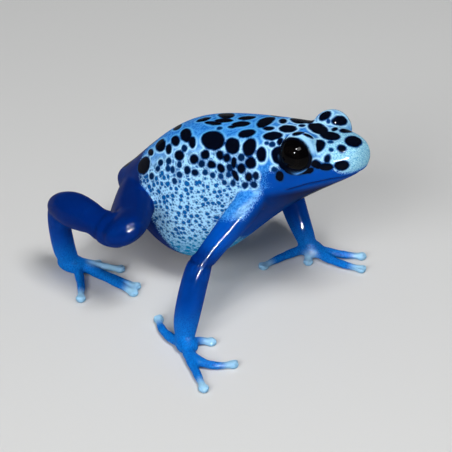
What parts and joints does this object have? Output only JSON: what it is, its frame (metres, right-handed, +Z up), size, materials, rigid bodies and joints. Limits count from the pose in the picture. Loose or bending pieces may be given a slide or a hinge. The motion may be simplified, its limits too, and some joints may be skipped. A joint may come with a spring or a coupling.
{
  "type": "blue poison dart frog",
  "caption": "Life-size still model of a blue poison dart frog standing on four feet with its head raised, in wet blue skin with black spots.",
  "frame": {"origin": "centre of the bounding box's base, on the floor under the soles", "axes": "+Z up; the frog faces -Y and its left side is +X"},
  "size_m": [0.0511, 0.0487, 0.0325],
  "materials": {
    "head": "wet skin, pale blue with black spots",
    "trunk": "wet skin, pale blue with black spots",
    "eye_right": "wet black eye",
    "eye_left": "wet black eye",
    "upper_arm_right": "wet skin, deep blue",
    "forearm_right": "wet skin, bright blue",
    "hand_right": "wet skin, bright blue",
    "upper_arm_left": "wet skin, deep blue",
    "forearm_left": "wet skin, bright blue",
    "hand_left": "wet skin, bright blue",
    "thigh_right": "wet skin, deep blue",
    "shank_right": "wet skin, deep blue",
    "tarsus_right": "wet skin, bright blue",
    "foot_right": "wet skin, bright blue",
    "thigh_left": "wet skin, deep blue",
    "shank_left": "wet skin, deep blue",
    "tarsus_left": "wet skin, bright blue",
    "foot_left": "wet skin, bright blue"
  },
  "bodies": {
    "root": {"head": "head", "trunk": "trunk", "eye_right": "eye_right", "eye_left": "eye_left", "upper_arm_right": "upper_arm_right", "forearm_right": "forearm_right", "hand_right": "hand_right", "upper_arm_left": "upper_arm_left", "forearm_left": "forearm_left", "hand_left": "hand_left", "thigh_right": "thigh_right", "shank_right": "shank_right", "tarsus_right": "tarsus_right", "foot_right": "foot_right", "thigh_left": "thigh_left", "shank_left": "shank_left", "tarsus_left": "tarsus_left", "foot_left": "foot_left"}
  },
  "joints": []
}
